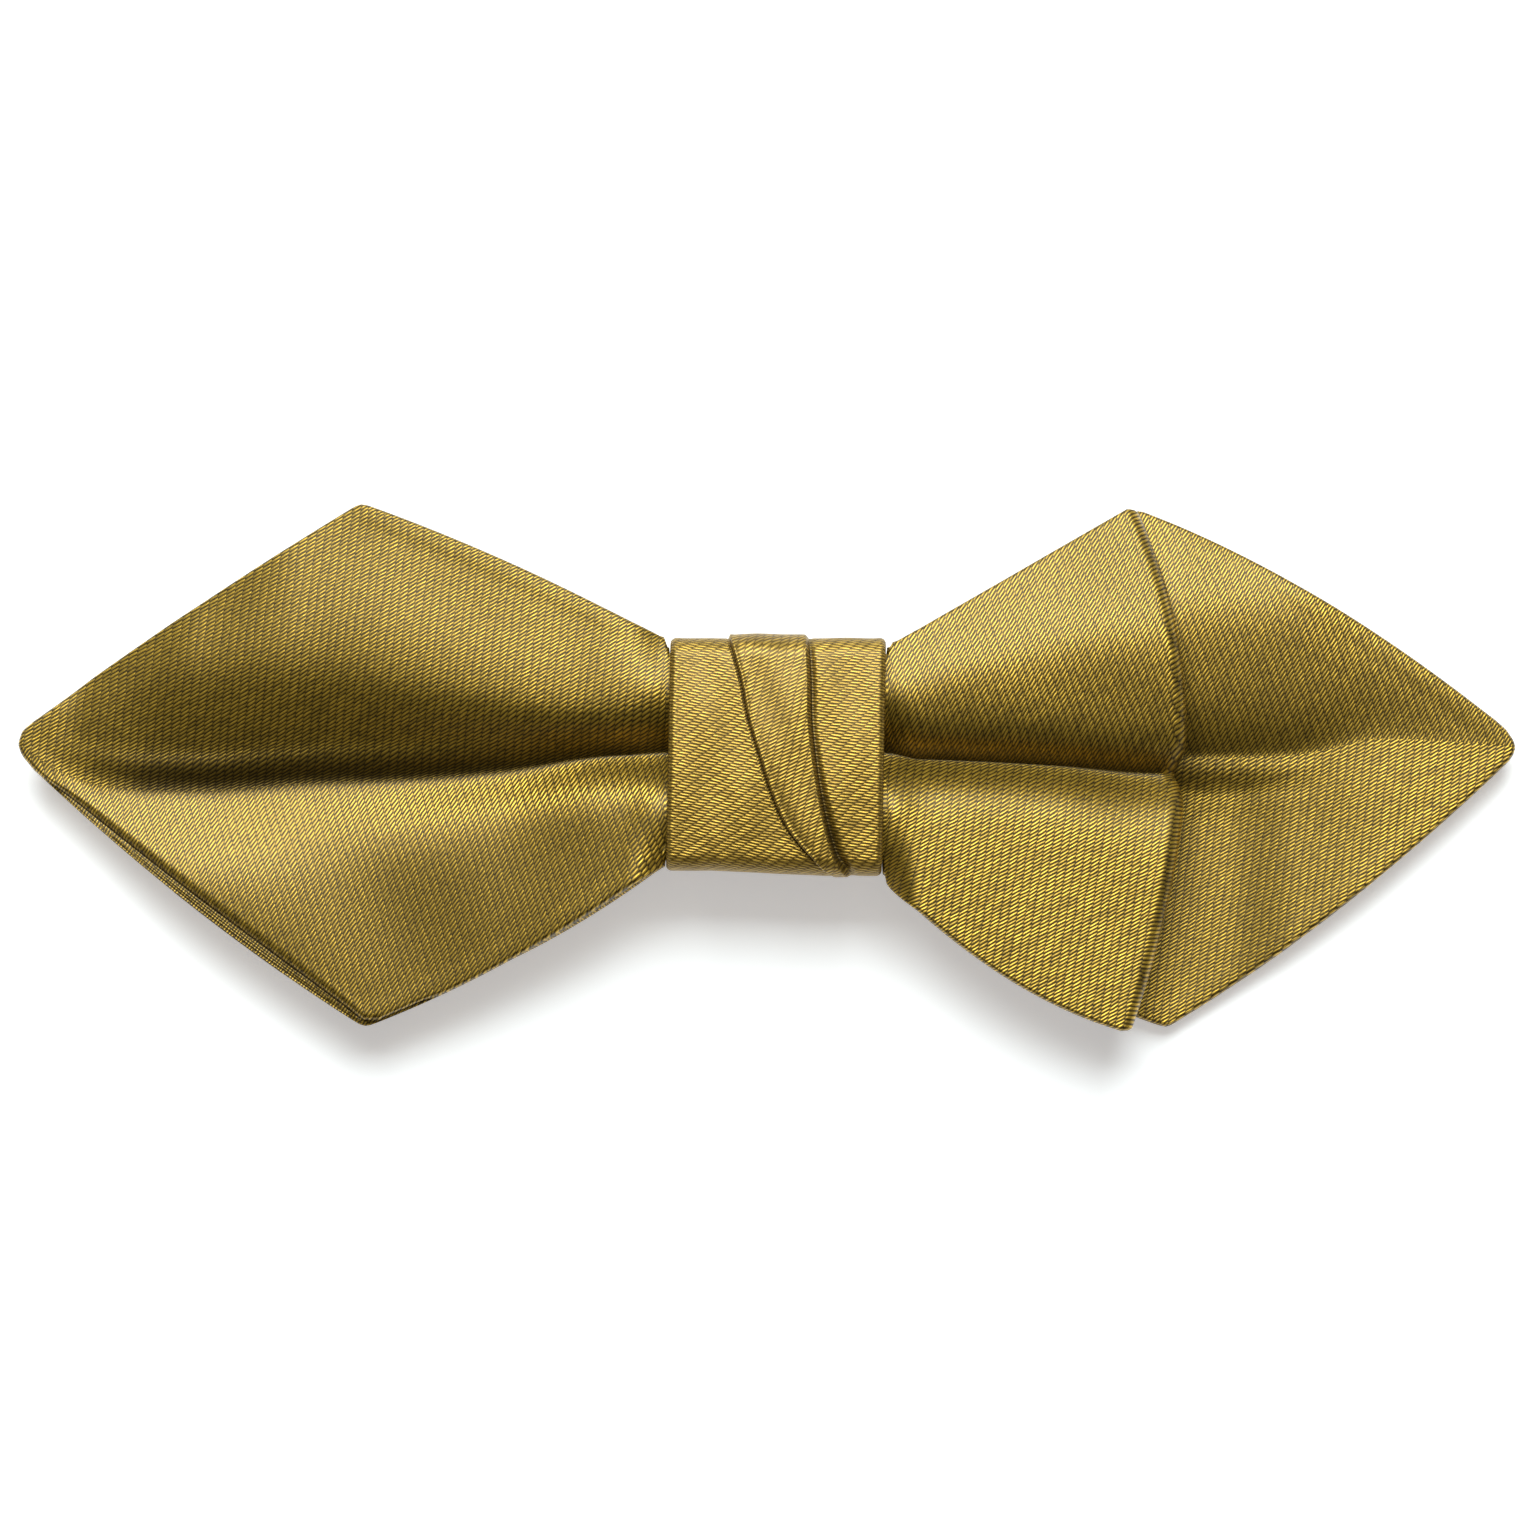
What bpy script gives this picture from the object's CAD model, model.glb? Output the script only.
"""A pre-tied diamond point bow tie in antique gold satin, lying on its back on a pale floor."""

import math

import bpy
import numpy as np
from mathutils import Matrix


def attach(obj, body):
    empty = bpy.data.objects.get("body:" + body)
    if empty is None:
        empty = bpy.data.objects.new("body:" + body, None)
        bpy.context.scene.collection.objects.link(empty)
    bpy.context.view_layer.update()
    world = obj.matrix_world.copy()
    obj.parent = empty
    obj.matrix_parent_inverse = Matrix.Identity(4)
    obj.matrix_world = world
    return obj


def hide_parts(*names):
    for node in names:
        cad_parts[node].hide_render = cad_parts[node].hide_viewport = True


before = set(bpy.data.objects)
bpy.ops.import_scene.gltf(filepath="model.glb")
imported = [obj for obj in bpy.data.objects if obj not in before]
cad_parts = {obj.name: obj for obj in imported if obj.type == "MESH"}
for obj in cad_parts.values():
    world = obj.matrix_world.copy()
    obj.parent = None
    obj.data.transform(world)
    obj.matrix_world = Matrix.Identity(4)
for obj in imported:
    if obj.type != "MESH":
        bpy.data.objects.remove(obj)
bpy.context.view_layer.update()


# Front bow. One strip of satin over soft interlining, sewn inside out, turned and pressed. It starts as the
# left diamond leaf, is gathered in the knot, makes the right loop's front ply, folds there and runs back.
LEFT_REACH = 61.0
RIGHT_REACH = 59.7
HALF_HEIGHT = 20.8
LOOP_REACH = 33.0
LOOP_CORNER = 27.9
FOLD_NOTCH = 0.9
FOLD_RADIUS = 0.85
FOLD_SQUARE = 0.55
CREASE_DEPTH = 3.6
CREASE_RADIUS = 0.9
BROW_SOFTNESS = 0.12
CLOTH = 1.2
CLOTH_PITCH = 1.65
MIDDLE_HEIGHT = 6.05
WAIST_HALF = 7.58
WAIST_END = 8.66
NECK_END = 8.74
NECK_LEAN = 0.008
RIM_BULGE = 0.3
RIM_RADIUS = 0.32
PIPING = 0.95
CREASE_SHADE = 0.9
MM = 0.001

# Each row of a layer is one section of the cloth. place is a share of the reach of its part, line is where
# the crease runs and wide and brow are distances from it, as shares of the half height. lift counts layers
# from the middle one, rise is a share of the crease's depth and bend is how sharply the cloth levels off
# there. ramp and fall are slopes of the lobe before and past its brow.
LAYER_COLUMNS = (
    "part", "place", "line", "lift",
    "rise_up", "wide_up", "bend_up", "ramp_up", "brow_up", "fall_up",
    "rise_down", "wide_down", "bend_down", "ramp_down", "brow_down", "fall_down",
)

FRONT_WAIST = (0.015, 1.0, 1.08, 0.15, 3.0, 0.00, 0.22, 0.40, 1.02, 0.15, 3.0, 0.00, 0.22, 0.40)
MIDDLE_WAIST = (0.015, 0.0, 0.44, 0.24, 3.0, 0.00, 0.30, 0.12, 0.44, 0.24, 3.0, 0.00, 0.30, 0.12)
REAR_WAIST = (0.015, -1.0, 0.33, 0.28, 3.0, 0.00, 0.35, 0.08, 0.33, 0.28, 3.0, 0.00, 0.35, 0.08)

FRONT_LAYER = (
    ("leaf", 1.000, 0.050, -0.58, 0.02, 0.20, 2.0, 0.00, 0.50, 0.00, 0.10, 0.20, 2.0, 0.00, 0.50, 0.00),
    ("leaf", 0.940, -0.060, -0.62, 0.08, 0.28, 3.0, 0.00, 0.22, 0.10, 0.22, 0.18, 3.0, 0.00, 0.50, 0.00),
    ("leaf", 0.890, -0.108, -0.68, 0.34, 0.34, 4.0, 0.00, 0.32, 0.32, 0.46, 0.27, 3.0, 0.00, 0.60, 0.00),
    ("leaf", 0.820, -0.130, -0.71, 0.66, 0.42, 5.0, 0.00, 0.42, 0.30, 0.60, 0.28, 4.0, 0.00, 0.60, 0.00),
    ("leaf", 0.758, -0.130, -0.72, 0.90, 0.43, 6.0, 0.00, 0.46, 0.24, 0.66, 0.31, 5.0, 0.00, 0.60, 0.00),
    ("leaf", 0.626, -0.104, -0.58, 1.13, 0.385, 8.0, 0.00, 0.56, 0.19, 0.66, 0.31, 3.0, 0.00, 0.60, 0.00),
    ("leaf", 0.494, -0.088, -0.28, 1.18, 0.295, 8.0, 0.00, 0.52, 0.13, 0.54, 0.20, 3.0, 0.00, 0.45, 0.00),
    ("leaf", 0.362, -0.058, 0.22, 1.12, 0.205, 7.0, 0.00, 0.42, 0.11, 0.56, 0.15, 3.0, 0.00, 0.45, -0.04),
    ("leaf", 0.231, 0.000, 0.75, 1.00, 0.115, 5.0, 0.00, 0.28, 0.12, 0.72, 0.12, 3.0, 0.00, 0.30, -0.07),
    ("leaf", 0.190, 0.008, 0.88, 1.00, 0.110, 4.0, 0.00, 0.25, 0.17, 0.80, 0.12, 3.0, 0.00, 0.26, -0.06),
    ("waist", -1, *FRONT_WAIST),
    ("waist", 1, *FRONT_WAIST),
    ("loop", 0.348, -0.008, 0.88, 0.86, 0.080, 3.0, 0.10, 0.265, 0.28, 0.85, 0.10, 2.5, 0.00, 0.22, 0.00),
    ("loop", 0.424, -0.012, 0.77, 0.80, 0.075, 3.0, 0.11, 0.32, 0.30, 0.82, 0.10, 2.5, 0.00, 0.22, 0.00),
    ("loop", 0.667, -0.031, 0.28, 0.74, 0.080, 3.0, 0.12, 0.43, 0.33, 0.80, 0.11, 2.5, 0.00, 0.25, -0.01),
    ("loop", 0.879, -0.062, -0.15, 0.70, 0.085, 3.0, 0.12, 0.53, 0.33, 0.80, 0.13, 2.5, 0.00, 0.25, -0.015),
    ("loop", 1.000, -0.069, -0.34, 0.70, 0.090, 3.0, 0.11, 0.56, 0.33, 0.80, 0.14, 2.5, 0.00, 0.25, -0.02),
)

MIDDLE_LAYER = (
    ("left", 0.993, -0.088, -1.75, 0.95, 0.44, 3.0, 0.00, 0.60, 0.15, 0.50, 0.32, 3.0, 0.00, 0.50, 0.00),
    ("left", 0.666, -0.058, -1.00, 0.80, 0.33, 3.0, 0.00, 0.50, 0.15, 0.42, 0.26, 3.0, 0.00, 0.45, 0.02),
    ("left", 0.425, 0.000, -0.33, 0.62, 0.25, 3.0, 0.00, 0.36, 0.12, 0.46, 0.22, 3.0, 0.00, 0.36, 0.08),
    ("waist", -1, *MIDDLE_WAIST),
    ("waist", 1, *MIDDLE_WAIST),
    ("right", 0.424, -0.012, -0.39, 0.62, 0.18, 2.5, 0.00, 0.31, 0.26, 0.52, 0.22, 3.0, 0.00, 0.30, -0.03),
    ("right", 0.667, -0.031, -0.94, 0.78, 0.19, 2.3, 0.00, 0.41, 0.30, 0.62, 0.24, 3.0, 0.00, 0.30, -0.08),
    ("right", 0.879, -0.062, -1.40, 0.84, 0.20, 2.2, 0.00, 0.51, 0.31, 0.66, 0.25, 3.0, 0.00, 0.30, -0.085),
    ("right", 1.000, -0.069, -1.60, 0.82, 0.21, 2.2, 0.00, 0.55, 0.31, 0.66, 0.26, 3.0, 0.00, 0.30, -0.085),
)

LEFT_CORNER = 0.543 * LEFT_REACH
RIGHT_CORNER = 0.510 * RIGHT_REACH
LOOP_MIDDLE = 0.75 * LOOP_CORNER
WAIST = WAIST_HALF / HALF_HEIGHT

# A plan is a strip's outline seen from the front. x is in mm. up and down are its edges, bulge is how far an
# edge swells on the way from the row before and lean slants a row of the mesh, all as shares of the half
# height. step is the spacing of the mesh on that way, in mm.
PLAN_COLUMNS = ("x", "lean", "up", "bulge_up", "down", "bulge_down", "step")

FRONT_PLAN = (
    (-LEFT_REACH, 0, 0.055, 0, 0.045, 0, 1),
    (-0.9975 * LEFT_REACH, 0, 0.068, 0, 0.030, 0, 0.05),
    (-0.9935 * LEFT_REACH, 0, 0.082, 0, 0.014, 0, 0.08),
    (-0.9856 * LEFT_REACH, 0, 0.110, 0, -0.014, 0, 0.12),
    (-LEFT_CORNER, -0.005, 0.965, 0.018, -1.030, 0.052, 0.42),
    (-NECK_END, NECK_LEAN, 0.426, 0.029, -0.392, 0.048, 0.42),
    (-WAIST_END, NECK_LEAN, WAIST, 0, -WAIST, 0, 0.36),
    (WAIST_END, NECK_LEAN, WAIST, 0, -WAIST, 0, 1.50),
    (NECK_END, NECK_LEAN, 0.406, 0, -0.448, 0, 0.36),
    (LOOP_CORNER, 0.014, 0.940, 0, -1.040, 0.080, 0.42),
)

FRONT_RETURN = (
    (LOOP_CORNER, 0.014, 0.940, 0, -1.040, 0, 1),
    (LOOP_MIDDLE, 0, 0.720, 0, -0.830, 0, 0.60),
    (NECK_END, NECK_LEAN, 0.400, 0, -0.430, 0.038, 0.80),
    (WAIST_END, NECK_LEAN, WAIST, 0, -WAIST, 0, 0.72),
    (0.15, 0, WAIST, 0, -WAIST, 0, 2.00),
)


def read_table(columns, rows):
    """The rows of a table as values by column name."""
    return [dict(zip(columns, row)) for row in rows]


def between_rows(places, values, x):
    """A smooth value between the rows of a table, which never swings past them."""
    slope = np.diff(values) / np.diff(places)
    before, after = slope[:-1], slope[1:]
    turning = before * after <= 0
    inner = np.where(turning, 0, 2 * before * after / np.where(turning, 1, before + after))
    tangent = np.concatenate([slope[:1], inner, slope[-1:]])
    x = np.clip(x, places[0], places[-1])
    i = np.clip(np.searchsorted(places, x, side="right") - 1, 0, len(places) - 2)
    step = places[i + 1] - places[i]
    t = (x - places[i]) / step
    s = 1 - t
    return (
        values[i] * (1 + 2 * t) * s * s + tangent[i] * step * t * s * s
        + values[i + 1] * (1 + 2 * s) * t * t - tangent[i + 1] * step * s * t * t
    )


class ClothLayer:
    """One layer of the bow: the height of the cloth at every place of its plan."""

    def __init__(self, rows, spans, relief=None):
        rows = read_table(LAYER_COLUMNS, rows)
        self.places = np.array([row["place"] * spans[row["part"]] for row in rows])
        self.values = {
            name: np.array([row[name] for row in rows], float) for name in LAYER_COLUMNS[2:]
        }
        self.relief = relief

    def at(self, column, x):
        return between_rows(self.places, self.values[column], x)

    def line(self, x):
        return self.at("line", x) * HALF_HEIGHT

    def height(self, x, y):
        away = y - self.line(x)
        upper = away >= 0

        def of_side(name):
            return np.where(upper, self.at(name + "_up", x), self.at(name + "_down", x))

        wide = of_side("wide") * HALF_HEIGHT
        rounded = np.hypot(away, CREASE_RADIUS) - CREASE_RADIUS
        bend = of_side("bend")
        climb = rounded / wide / (1 + (rounded / wide) ** bend) ** (1 / bend)
        brow = of_side("brow") * HALF_HEIGHT
        soft = BROW_SOFTNESS * brow
        past = soft * (np.logaddexp(0, (np.abs(away) - brow) / soft) - np.logaddexp(0, -brow / soft))
        z = MIDDLE_HEIGHT + self.at("lift", x) * CLOTH_PITCH
        z = z + of_side("rise") * CREASE_DEPTH * climb
        z = z + of_side("ramp") * (rounded - past) - of_side("fall") * past
        return z + (self.relief(x, away) if self.relief else 0)


def window(x, start, full, fade, end):
    """0 before start, 1 from full to fade, 0 after end, and smooth between them."""
    rising = np.clip((x - start) / (full - start), 0, 1)
    falling = np.clip((end - x) / (end - fade), 0, 1)
    share = np.minimum(rising, falling)
    return share * share * (3 - 2 * share)


def front_relief(x, away):
    """The pressed ripple above the left leaf's crease, and the slack of the cloth."""
    ripple = 0.30 * np.exp(-(((away - 2.1) / 0.85) ** 2)) * window(x, -60, -44, -30, -18)
    slack = 0.05 * np.sin(0.33 * x + 0.41 * away + 0.6) * window(np.abs(x), 10, 16, 50, 60)
    return ripple + slack * np.clip(np.abs(away) / 6, 0, 1)


front_layer = ClothLayer(
    FRONT_LAYER, {"leaf": -LEFT_REACH, "waist": WAIST_END, "loop": LOOP_REACH}, front_relief
)
middle_layer = ClothLayer(
    MIDDLE_LAYER, {"left": -LOOP_REACH, "waist": WAIST_END, "right": LOOP_REACH}
)


def walk_plan(rows):
    """Stations along a plan: rows of x, lean, up and down in mm, and how far along the last row each is."""
    rows = read_table(PLAN_COLUMNS, rows)
    found = []
    for i in range(1, len(rows)):
        a, b = rows[i - 1], rows[i]
        count = max(2, round(abs(b["x"] - a["x"]) / b["step"]))
        t = np.linspace(0, 1, count + 1)[0 if i == 1 else 1:]
        arch = 4 * t * (1 - t)
        up = a["up"] + (b["up"] - a["up"]) * t + b["bulge_up"] * arch
        down = a["down"] + (b["down"] - a["down"]) * t - b["bulge_down"] * arch
        lean = a["lean"] + (b["lean"] - a["lean"]) * t
        x = a["x"] + (b["x"] - a["x"]) * t
        found.append(np.stack([
            x, lean * HALF_HEIGHT, up * HALF_HEIGHT, down * HALF_HEIGHT, np.full_like(t, i), t,
        ], 1))
    return np.concatenate(found)


def bow_out(u):
    """How far a loop's fold stands out past its corners, less the notch that its crease cuts."""
    swell = 1 - np.abs(u) ** np.where(u >= 0, 2.3, 1.5)
    reach = LOOP_REACH - FOLD_RADIUS - CLOTH / 2 - LOOP_CORNER
    return reach * swell - FOLD_NOTCH * np.exp(-((u / 0.07) ** 2))


# Distances from the outer rim, in mm, of the columns of the mesh that make the rim and its seam.
RIM_COLUMNS = np.array([
    0.0, 0.03, 0.09, 0.16, 0.23, 0.30, 0.37, 0.44, 0.51, 0.58, 0.65, 0.72, 0.80, 0.88, 0.97, 1.06,
    1.16, 1.28, 1.42, 1.6, 1.85,
])


def across_columns(width, slant, count=36):
    """Places of the mesh's columns from the crease, at 0, to past the plan's edge, at 1 and a little more."""
    deepest = RIM_COLUMNS[-1]
    narrowed = np.minimum(1, (RIM_BULGE + 0.7 * slant * width) / deepest)
    rim = 1 + (RIM_BULGE - RIM_COLUMNS[::-1] * narrowed) / (slant * width)
    k = np.linspace(0, 1, count, endpoint=False)
    body = 0.55 * k + 0.45 * k ** 2
    return np.concatenate([rim[..., :1] * body, rim], -1)


def side_columns(stations, layer):
    """For every station, columns from its lower edge to its upper one, as shares of each side's width."""
    x, _, up, down = stations[:, :4].T
    line = layer.line(x)
    sides = []
    for edge in (down, up):
        run = np.gradient(edge, x)
        run = np.where(np.isfinite(run), run, 0)
        slant = 1 / np.hypot(1, np.clip(run, -1.2, 1.2))
        width = np.maximum(np.abs(edge - line), 0.8)
        sides.append(across_columns(width[:, None], slant[:, None]))
    return np.concatenate([-sides[0][:, ::-1], sides[1][:, 1:]], 1)


def soften(values, x):
    """Rounds the corners of an edge line, less so beside the knot, and keeps its ends."""
    reach = np.where(np.abs(x) < NECK_END + 2, 0.12, 0.45)[:, None]
    gap = np.abs(x[:, None] - x[None, :])
    weight = np.exp(-((gap / reach) ** 2)) * np.gradient(np.abs(x - x[0]))[None, :]
    smooth = weight @ values / weight.sum(1)
    near_end = np.minimum(np.abs(x - x[0]), np.abs(x - x[-1]))
    return values + (smooth - values) * np.clip(near_end / (2 * reach[:, 0]), 0, 1)


def lay_points(stations, layer, columns, bow):
    """Points of the cloth's middle surface, at the stations and columns given."""
    x, lean, up, down = (stations[:, i][:, None] for i in range(4))
    px = x + lean * columns + bow
    line = layer.line(px)
    py = np.where(columns >= 0, line + (up - line) * columns, line + (line - down) * columns)
    return np.stack([px, py, layer.height(px, py)], -1)


def lay_strip(outer, plan, inner, back):
    """A strip's middle surface: along its leaf, waist and loop, round the fold and back inside."""
    held, returned = walk_plan(plan), walk_plan(back)
    side = np.sign(held[-1, 0])
    for column in (2, 3):
        held[:, column] = soften(held[:, column], held[:, 0])
    columns = side_columns(held, outer)
    last = (held[:, 4] == held[-1, 4])[:, None]
    growing = side * bow_out(np.clip(columns, -1, 1)) * held[:, 5:6] ** 2 * last
    out = lay_points(held, outer, columns, growing)

    back_columns = side_columns(returned, inner)
    share = np.clip(np.abs(returned[:, :1] - returned[0, 0]) / 4, 0, 1)
    back_columns = columns[-1] + (back_columns - columns[-1]) * share
    first = (returned[:, 4] == 1)[:, None]
    shrinking = side * bow_out(np.clip(back_columns, -1, 1)) * (1 - returned[:, 5:6]) * first
    home = lay_points(returned, inner, back_columns, shrinking)

    turn = np.linspace(0, math.pi, 15)[1:-1, None]
    start, end = out[-1], home[0]
    round_out = FOLD_RADIUS * (1 - 0.6 * np.clip(np.abs(columns[-1]), 0, 1) ** 3)
    drop = np.sign(np.cos(turn)) * np.abs(np.cos(turn)) ** FOLD_SQUARE
    fold = np.stack([
        start[None, :, 0] + side * round_out * np.sin(turn) ** FOLD_SQUARE,
        np.broadcast_to(start[None, :, 1], (len(turn), len(start))),
        (start[:, 2] + end[:, 2]) / 2 + (start[:, 2] - end[:, 2]) / 2 * drop,
    ], -1)
    points = np.concatenate([out, fold, home])
    shares = np.concatenate([columns, np.repeat(columns[-1:], len(turn), 0), back_columns])
    parts = np.concatenate([np.zeros(len(out)), np.ones(len(turn)), np.full(len(home), 2)])
    return points, shares, parts, side


def rim_distance(points):
    """How far each point lies inside the strip's own outer rim, in mm, measured along its station."""
    steps = np.linalg.norm(np.diff(points, axis=1), axis=2)
    along = np.concatenate([np.zeros((len(points), 1)), np.cumsum(steps, 1)], 1)
    ahead = np.gradient(points, axis=0)
    across = np.gradient(points, axis=1)
    square = np.linalg.norm(np.cross(ahead, across), axis=2) / (
        np.linalg.norm(ahead, axis=2) * np.linalg.norm(across, axis=2) + 1e-9
    )
    low = along * square[:, 1:2]
    high = (along[:, -1:] - along) * square[:, -2:-1]
    return np.minimum(low, high), low < high


# Height of the lower left rim, where the back ply rolls out past the seam as piping: distance in mm, share.
PIPING_PROFILE = np.array([
    (0.00, -0.55), (0.05, -0.15), (0.12, 0.02), (0.19, 0.06), (0.25, -0.12), (0.32, -0.18), (0.39, 0.10),
    (0.46, 0.12), (0.52, -0.10), (0.59, 0.12), (0.66, 0.20), (0.73, 0.00), (0.80, 0.10), (0.87, 0.22),
    (0.95, 0.02), (1.02, -0.02), (1.10, 0.36), (1.22, 0.62), (1.40, 0.82), (1.65, 0.95), (1.85, 1.00),
])

# How dark the grooves between the rolls of the piping are: distance in mm, share.
PIPING_GROOVES = np.array([
    (0.00, 0.10), (0.12, 0.00), (0.19, 0.10), (0.28, 0.60), (0.34, 0.50), (0.42, 0.10), (0.52, 0.60),
    (0.62, 0.10), (0.73, 0.65), (0.84, 0.15), (0.98, 1.00), (1.12, 0.40), (1.40, 0.00),
])
PIPING_START = 31.6
PIPING_END = 59.0
EDGE_SEAM = 0.12


THREAD_PITCH = 0.255
RIB_PITCH = 0.655
RIB_TURN = 52.0
RIB_STAGGER = -0.4


def count_weave(x, y, direction):
    """Ribs and threads counted across the cloth, where its threads run in a direction given in degrees."""
    thread_turn = np.radians(direction + 90)
    rib_turn = np.radians(direction + 90 + RIB_TURN)
    rib = x * np.cos(rib_turn) + y * np.sin(rib_turn)
    thread = x * np.cos(thread_turn) + y * np.sin(thread_turn)
    return np.stack([rib / RIB_PITCH, thread / THREAD_PITCH], -1)


def smooth_object(name, points, faces, seam, uvs):
    """A new object from points in mm, faces as lists of indices, and one UV pair for each face corner."""
    mesh = bpy.data.meshes.new(name)
    mesh.from_pydata((np.asarray(points) * MM).tolist(), [], faces)
    weave = mesh.uv_layers.new(name="weave")
    weave.data.foreach_set("uv", np.asarray(uvs, np.float32).ravel())
    shade = mesh.attributes.new("seam", "FLOAT", "POINT")
    shade.data.foreach_set("value", np.asarray(seam, np.float32).ravel())
    mesh.polygons.foreach_set("use_smooth", np.ones(len(mesh.polygons), bool))
    mesh.update()
    made = bpy.data.objects.new(name, mesh)
    bpy.context.scene.collection.objects.link(made)
    return made


def faces_inward(points, quads):
    """Whether the corners of a closed surface's faces run the wrong way round."""
    corner = points[quads]
    turned = np.cross(corner[:, 1], corner[:, 2]) + np.cross(corner[:, 2], corner[:, 3])
    return (corner[:, 0] * turned).sum() < 0


def close_tube(rings):
    """Faces that join a row of rings and cap both of its ends, turned outward."""
    rows, size = rings.shape[:2]
    index = np.arange(rows * size).reshape(rows, size)
    beside = np.roll(index, -1, 1)
    quads = np.stack([index[:-1], index[1:], beside[1:], beside[:-1]], -1).reshape(-1, 4)
    caps = [index[0], index[-1, ::-1]]
    if faces_inward(rings.reshape(-1, 3), quads):
        quads = quads[:, ::-1]
        caps = [cap[::-1] for cap in caps]
    return quads, caps


def cloth_normals(points, side):
    """Directions square to a strip's middle surface, which point up on its leaf."""
    normal = np.cross(np.gradient(points, axis=0), np.gradient(points, axis=1)) * side
    normal = normal / (np.linalg.norm(normal, axis=2, keepdims=True) + 1e-12)
    leaf = normal[: len(points) // 3, :, 2]
    return -normal if np.median(leaf) < 0 else normal


def crease_shade(points, layer):
    """How dark the pressed crease is, which fades slower up the lobe than down."""
    x = points[:, :, 0]
    away = points[:, :, 1] - layer.line(x) - 0.4
    above = np.maximum(1.3, 0.35 * HALF_HEIGHT * layer.at("wide_up", x))
    below = 0.8 + 1.6 * window(x, 30, 32, 34, 42)
    shade = CREASE_SHADE * np.exp(-((away / np.where(away > 0, above, below)) ** 2))
    return shade * np.clip(2.5 * layer.at("rise_up", x) - 0.6, 0, 1)


def unfolded(points, parts, side):
    """Places of a strip's points on the cloth as it was before its loop was folded."""
    x = points[:, :, 0]
    fold_x = side * (side * x[parts == 1]).max()
    run = np.where((parts == 2)[:, None], 2 * fold_x - x, x)
    return np.stack([run, points[:, :, 1]], -1)


def thread_directions(points, shares, parts, side, grain):
    """Direction of the threads on every face: leaf or loop, above or below the crease."""
    crease = int(np.argmin(np.abs(shares[0])))
    size = 2 * points.shape[1] - 2
    upper = np.arange(size) >= crease
    upper[size - crease:] = False
    on_leaf = (points[:-1, crease, 0] * side < 0) & (parts[:-1] == 0)
    return np.where(
        on_leaf[:, None],
        np.where(upper, grain["leaf_up"], grain["leaf_down"]),
        np.where(upper, grain["loop_up"], grain["loop_down"]),
    )


def sew_strip(name, laid, layer, grain, piping=None):
    """Gives a strip its thickness, rims and seams, and closes it into one solid."""
    points, shares, parts, side = laid
    x = points[:, :, 0]
    outer_ply = (parts == 0)[:, None]
    distance, lower = rim_distance(points)
    from_tip = np.where(outer_ply, np.abs(x - x[0, x.shape[1] // 2]) + 0.02, 9.0)
    inside = np.clip(np.minimum(distance, from_tip) / RIM_RADIUS, 0, 1)
    rounded = np.sqrt(np.maximum(0, 1 - (1 - inside) ** 2))

    on_leaf = np.clip((np.abs(x) - NECK_END) / 4, 0, 1) * ((x * side < 0) & outer_ply)
    seam_ridge = 0.03 * np.exp(-(((distance - 1.0) / 0.5) ** 2))
    seam_hollow = 0.02 * np.exp(-(((distance - 2.0) / 0.5) ** 2))
    bottom = rounded * (1 + on_leaf * (seam_ridge - seam_hollow))
    top = bottom
    dark = crease_shade(points, layer) * outer_ply
    if piping is not None:
        share = piping(x, lower)
        width = np.maximum(share, 0.02)
        rolled = np.interp(distance / width, PIPING_PROFILE[:, 0], PIPING_PROFILE[:, 1])
        rolled = np.where(from_tip < 0.6, np.minimum(rolled, rounded), rolled)
        blend = np.clip(share * 4, 0, 1) * (distance < PIPING_PROFILE[-1, 0] * width)
        top = top * (1 - blend) + rolled * blend
        stripes = np.interp(distance / width, PIPING_GROOVES[:, 0], PIPING_GROOVES[:, 1])
        dark = np.maximum(dark, stripes * blend)

    normal = cloth_normals(points, side)
    upper_face = points + normal * (top * CLOTH / 2)[..., None]
    lower_face = points - normal * (bottom * CLOTH / 2)[..., None]
    rings = np.concatenate([upper_face, lower_face[:, -2:0:-1]], 1)
    dark = np.concatenate([dark, 0 * dark[:, -2:0:-1]], 1)
    edge = points.shape[1] - 1
    for rim, inward in ((0, 1), (edge, edge - 1)):
        pull = points[:, inward] - points[:, rim]
        pull = pull / (np.linalg.norm(pull, axis=1, keepdims=True) + 1e-12)
        seam_depth = EDGE_SEAM * on_leaf[:, rim] * (distance[:, rim] < 0.02)
        rings[:, rim] = points[:, rim] + pull * seam_depth[:, None]
        dark[:, rim] = np.maximum(dark[:, rim], 0.7 * (seam_depth > 0))

    quads, caps = close_tube(rings)
    flat = unfolded(points, parts, side)
    flat = np.concatenate([flat, flat[:, -2:0:-1]], 1).reshape(-1, 2)
    direction = thread_directions(points, shares, parts, side, grain).reshape(-1, 1)
    corners, ends = flat[quads], flat[np.concatenate(caps)]
    uvs = np.concatenate([
        count_weave(corners[..., 0], corners[..., 1], direction).reshape(-1, 2),
        count_weave(ends[:, 0], ends[:, 1], 30.0),
    ])
    faces = quads.tolist() + [cap.tolist() for cap in caps]
    return smooth_object(name, rings.reshape(-1, 3), faces, dark, uvs)


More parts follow.
